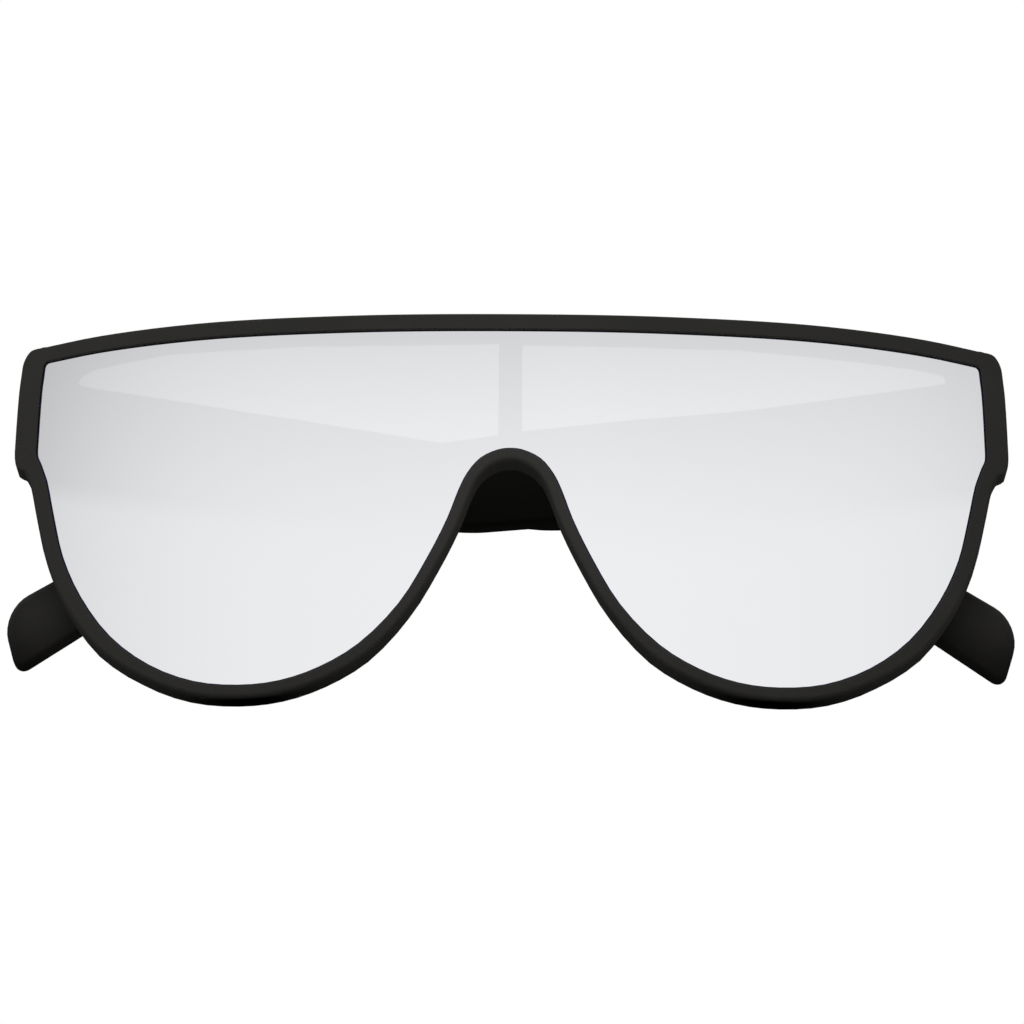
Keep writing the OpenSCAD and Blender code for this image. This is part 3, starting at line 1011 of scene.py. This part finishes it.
def plate(bm, low, high):
    """A block between two places, with the four edges along its thinnest way rounded."""
    low, high = Vector(low), Vector(high)
    size = high - low
    thin = min(range(3), key=lambda k: size[k])
    bmesh.ops.create_cube(bm, size=1, matrix=Matrix.Translation((low + high) / 2)
                          @ Matrix.Diagonal((*size, 1)))
    round_plate(bm, [edge for edge in bm.edges
                     if abs((edge.verts[0].co - edge.verts[1].co)[thin]) > size[thin] / 2])


def moved_copy(bm, faces, vec):
    """Extrudes faces and moves what was made."""
    made = bmesh.ops.extrude_face_region(bm, geom=faces, use_keep_orig=True)["geom"]
    bmesh.ops.translate(bm, verts=verts_of(made), vec=vec)


def notched_plate(bm):
    """The plate on the front, cut out between its knuckles so that the middle one has room."""
    corners = [(plate_reach, plate_half_height), (plate_end, plate_half_height),
               (plate_end, notch_half_height), (notch_x, notch_half_height)]
    corners += [(x, -z) for x, z in reversed(corners)]
    bm.faces.new([bm.verts.new((x, plate_back, z)) for x, z in corners])
    moved_copy(bm, list(bm.faces), (0, plate_front - plate_back, 0))
    round_plate(bm, [edge for edge in bm.edges if edge.verts[0].co.y != edge.verts[1].co.y
                     and abs(edge.verts[0].co.z) > plate_half_height / 2])


def web(bm, inner, width, length, half_height):
    """What joins the middle knuckle to its plate: a block without the corner that the pin runs in."""
    corners = [(0, inner), (inner, inner), (inner, 0), (width, 0), (width, length), (0, length)]
    block = bm.faces.new([bm.verts.new((x, y, -half_height)) for x, y in corners])
    moved_copy(bm, [block], (0, 0, 2 * half_height))


# %% [markdown]
# A knuckle is a small rectangle spun round the pin. In the end every sharp edge of a leaf is bevelled
# a little, because plating never leaves a keen edge. All is modelled at the origin and moved to the
# hinge, as the temples were.

# %% Knuckles, eased edges and placing
def knuckle(bm, low, high):
    """A ring round the pin between two heights."""
    places = ((bore_radius, low), (knuckle_radius, low), (knuckle_radius, high), (bore_radius, high))
    ring = [bm.verts.new((radius, 0, z)) for radius, z in places]
    edges = [bm.edges.new((ring[k - 1], ring[k])) for k in range(4)]
    bmesh.ops.spin(bm, geom=ring + edges, axis=(0, 0, 1), cent=(0, 0, 0), angle=math.tau,
                   steps=knuckle_steps, use_merge=True)


def ease(bm, amount):
    """Rounds every sharp edge a little."""
    bmesh.ops.recalc_face_normals(bm, faces=bm.faces)
    sharp = [edge for edge in bm.edges if edge.calc_face_angle(0) > sharp_angle]
    bmesh.ops.bevel(bm, geom=sharp, offset=amount, offset_type="OFFSET", affect="EDGES", segments=2,
                    profile=0.5, clamp_overlap=True, material=-1)


def hinge_piece(name, bm, side, folded):
    """Puts a finished hinge piece in its place and gives it its body. It is named for its node."""
    at_hinge(bm, side, folded)
    piece = new_object("dressed_" + name, bm, [hinge_steel])
    piece.modifiers.new("flat_faces", "WEIGHTED_NORMAL")
    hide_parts(name)
    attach(piece, side_names[side] + "_temple" if folded else "front")
    low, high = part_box(name)
    spots = [vert.co for vert in piece.data.vertices]
    off = max(abs(pick(spot[k] for spot in spots) - edge[k])
              for pick, edge in ((min, low), (max, high)) for k in range(3))
    print(name, len(piece.data.polygons), "faces, off its CAD box by", round(off / MM, 3), "mm")


# %% [markdown]
# The front leaf holds the upper and the lower knuckle, and the temple's leaf the middle one. Each
# leaf is printed with how far its box is from that of its CAD node.

# %% Leaves of the hinges
for side, name in side_names.items():
    bm = bmesh.new()
    notched_plate(bm)
    knuckle(bm, notch_half_height, plate_half_height)
    knuckle(bm, -plate_half_height, -notch_half_height)
    ease(bm, eased)
    hinge_piece(name + "_front_leaf", bm, side, folded=False)

    bm = bmesh.new()
    plate(bm, (leaf_low, leaf_start, -plate_half_height), (leaf_high, leaf_end, plate_half_height))
    web(bm, web_inner, leaf_high, web_end, middle_half_height)
    knuckle(bm, -middle_half_height, middle_half_height)
    ease(bm, eased)
    hinge_piece(name + "_temple_leaf", bm, side, folded=True)

# %% [markdown]
# A screw is a turned head on a shank. Its recess is cut the way a punch makes it: a ring is inset on
# the head, straight cuts across the inner disc mark out the slot or the cross, and those faces are
# extruded into the head. The leaf screws come in pairs, so the second is a copy of the first.

# %% One screw and a pair
screw_sides = 32
buried = 0.2 * MM
head_eased = 1.5 * eased
recess_half_width = 0.17 * MM
recess_reach = 0.68
recess_depth = 0.6
recess_tolerance = 0.0001 * MM
touch = 0.01 * MM


def screw(bm, shank_radius, shank_length, head_radius, head_height, crossed):
    """A screw along Z, the underside of its head at the origin, with a cross or a slot in it."""
    for radius, low, high in ((shank_radius, -shank_length, buried), (head_radius, 0, head_height)):
        middle = Matrix.Translation((0, 0, (low + high) / 2))
        bmesh.ops.create_cone(bm, cap_ends=True, segments=screw_sides, radius1=radius,
                              radius2=radius, depth=high - low, matrix=middle)
    ease(bm, head_eased)
    top = max(bm.faces, key=lambda face: face.calc_center_median().z)
    reach = recess_reach * head_radius
    bmesh.ops.inset_region(bm, faces=[top], thickness=head_radius - head_eased - reach)

    def in_ring(vert):
        """Whether a vertex is on the head, in the inset ring or on it."""
        return vert.co.z > head_height - touch and vert.co.xy.length < reach + touch

    def disc():
        """The faces inside the inset ring."""
        return [face for face in bm.faces if all(in_ring(vert) for vert in face.verts)]

    for normal in ((1, 0, 0), (0, 1, 0)):
        for shift in (-recess_half_width, recess_half_width):
            faces = disc()
            parts = faces + list(dict.fromkeys(e for f in faces for e in f.edges))
            parts += list(dict.fromkeys(v for f in faces for v in f.verts))
            bmesh.ops.bisect_plane(bm, geom=parts, plane_co=Vector(normal) * shift,
                                   plane_no=normal, dist=recess_tolerance)
    sunk = []
    for face in disc():
        middle = face.calc_center_median()
        if abs(middle.y) < recess_half_width or crossed and abs(middle.x) < recess_half_width:
            sunk.append(face)
    made = extruded_region(bm, sunk)
    bmesh.ops.translate(bm, verts=verts_of(made), vec=(0, 0, -recess_depth * head_height))


def pair(bm, matrix, apart):
    """Moves one screw to its place and adds the second below it."""
    bm.transform(matrix)
    copied = bmesh.ops.duplicate(bm, geom=all_of(bm))["geom"]
    bmesh.ops.translate(bm, verts=verts_of(copied), vec=(0, 0, -apart))


# %% [markdown]
# The pin's head lies on the upper knuckle and has a slot. The heads of the leaf screws lie on the
# leaves and have a cross, and their shanks reach into the hinge block and into the temple.

# %% Screws of the hinges
pin = {"shank_radius": pin_radius, "shank_length": 2 * plate_half_height,
       "head_radius": 1.295 * MM, "head_height": 0.63 * MM}
leaf_screw = {"shank_radius": 0.55 * MM, "shank_length": 3.1 * MM,
              "head_radius": 1.02 * MM, "head_height": 0.495 * MM}
screw_height = 2.7 * MM
front_screw_x = -5.2 * MM
temple_screw_y = 7.15 * MM
into_front = (Matrix.Translation((front_screw_x, plate_front, screw_height))
              @ Matrix.Rotation(-quarter_turn, 4, "X"))
into_temple = (Matrix.Translation((leaf_low, temple_screw_y, screw_height))
               @ Matrix.Rotation(-quarter_turn, 4, "Y"))
for side, name in side_names.items():
    bm = bmesh.new()
    screw(bm, **pin, crossed=False)
    bmesh.ops.translate(bm, verts=bm.verts, vec=(0, 0, plate_half_height))
    hinge_piece(name + "_hinge_screw", bm, side, folded=False)

    bm = bmesh.new()
    screw(bm, **leaf_screw, crossed=True)
    pair(bm, into_front, 2 * screw_height)
    hinge_piece(name + "_front_leaf_screws", bm, side, folded=False)

    bm = bmesh.new()
    screw(bm, **leaf_screw, crossed=True)
    pair(bm, into_temple, 2 * screw_height)
    hinge_piece(name + "_temple_leaf_screws", bm, side, folded=True)
